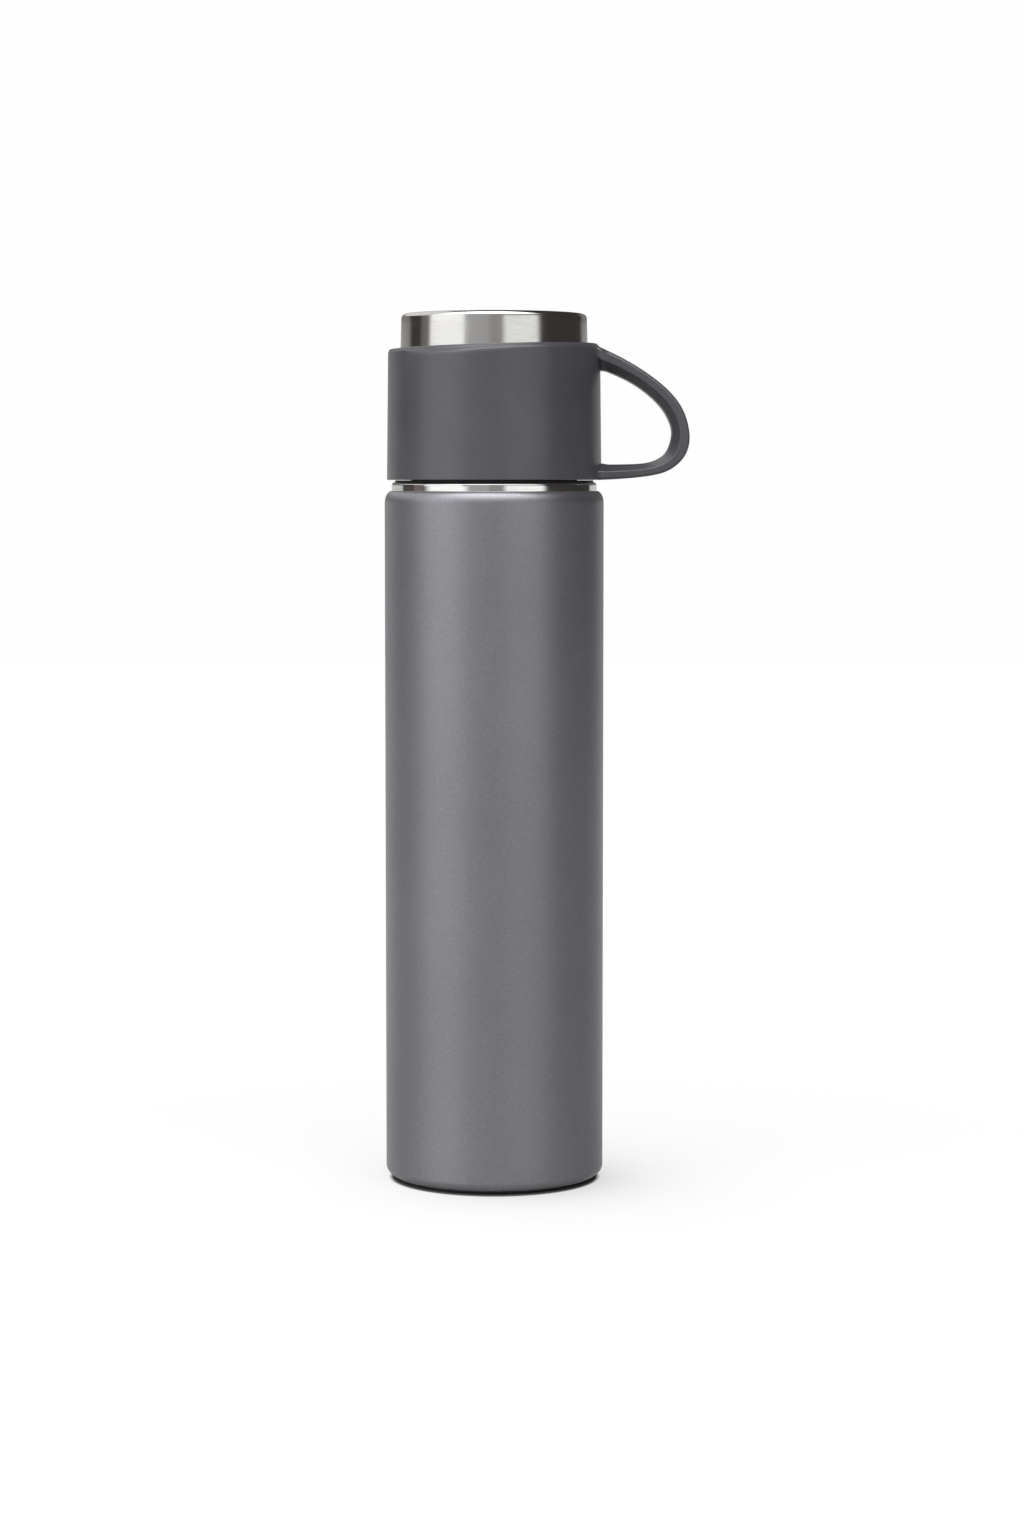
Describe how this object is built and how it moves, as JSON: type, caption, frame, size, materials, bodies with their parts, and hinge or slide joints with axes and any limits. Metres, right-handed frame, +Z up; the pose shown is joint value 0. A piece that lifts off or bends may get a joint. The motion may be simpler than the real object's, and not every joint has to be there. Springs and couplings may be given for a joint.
{
  "type": "vacuum flask",
  "caption": "Slim double-walled steel vacuum flask with a threaded push-button stopper and an upturned steel-lined cup with a D handle as its lid.",
  "frame": {"origin": "centre of the base, on the flask's axis, where it stands", "axes": "+Z up along the flask's axis, +X towards the cup's handle"},
  "size_m": [0.0901, 0.065, 0.2575],
  "materials": {
    "coat_grey": "matt powder coat with a fine speckle",
    "polished_steel": "polished stainless steel",
    "satin_steel": "fine satin turned stainless steel",
    "vessel_steel": "electropolished stainless steel",
    "plate_steel": "pressed stainless sheet",
    "solder": "dull solder bead",
    "copper_foil": "bright copper foil",
    "getter_metal": "sintered metal",
    "black_silicone": "soft matt silicone",
    "stopper_plastic": "moulded polypropylene",
    "cover_plastic": "moulded polypropylene, fine grain",
    "button_plastic": "moulded polypropylene, satin",
    "valve_plastic": "natural polypropylene",
    "foam_white": "rigid foam",
    "spring_steel": "drawn spring wire",
    "sleeve_grey": "moulded polypropylene, soft matt grain"
  },
  "bodies": {
    "flask": {"body_shell": "coat_grey", "neck_shoulder": "polished_steel", "inner_vessel": "vessel_steel", "base_plate": "plate_steel", "exhaust_seal": "solder", "pocket_cover": "plate_steel", "foot_pad": "black_silicone", "radiation_foil": "copper_foil", "getter": "getter_metal", "cup_seat": "black_silicone"},
    "stopper_seal": {"stopper_gasket": "black_silicone"},
    "stopper": {"stopper_body": "stopper_plastic", "plug_foam": "foam_white", "plug_cap": "stopper_plastic", "stem_guide": "stopper_plastic", "stem_seal": "black_silicone", "stopper_cover": "cover_plastic", "grip_band": "black_silicone", "button_spring": "spring_steel", "key_spring": "spring_steel"},
    "button": {"push_button": "button_plastic", "valve_stem": "valve_plastic", "stem_clip": "spring_steel", "valve_seal": "black_silicone", "valve_plate": "valve_plastic"},
    "release_key": {"release_slide": "button_plastic"},
    "cup": {"cup_liner": "satin_steel", "cup_sleeve": "sleeve_grey", "cup_rim_ring": "sleeve_grey", "liner_seal": "black_silicone"}
  },
  "joints": [
    {"name": "stopper_rise", "type": "slide", "parent": "flask", "child": "stopper_seal", "axis": [0, 0, 1], "range_m": [0, 0.036]},
    {"name": "stopper_turn", "type": "hinge", "parent": "stopper_seal", "child": "stopper", "pos_m": [0, 0, 0.21], "axis": [0, 0, 1], "range_deg": [0, 1080]},
    {"name": "button_press", "type": "slide", "parent": "stopper", "child": "button", "axis": [0, 0, -1], "range_m": [0, 0.0035], "stiffness_N_per_m": 800, "springref_m": -0.004, "deforming": ["button_spring"]},
    {"name": "key_press", "type": "slide", "parent": "stopper", "child": "release_key", "axis": [-1, 0, 0], "range_m": [0, 0.0012], "stiffness_N_per_m": 600, "springref_m": -0.0015, "deforming": ["key_spring"]},
    {"name": "cup_lift", "type": "slide", "parent": "stopper", "child": "cup", "axis": [0, 0, 1], "range_m": [0, 0.08]}
  ],
  "couplings": [
    {"joint": "stopper_rise", "follows": "stopper_turn", "m_per_rad": 0.0019099}
  ]
}
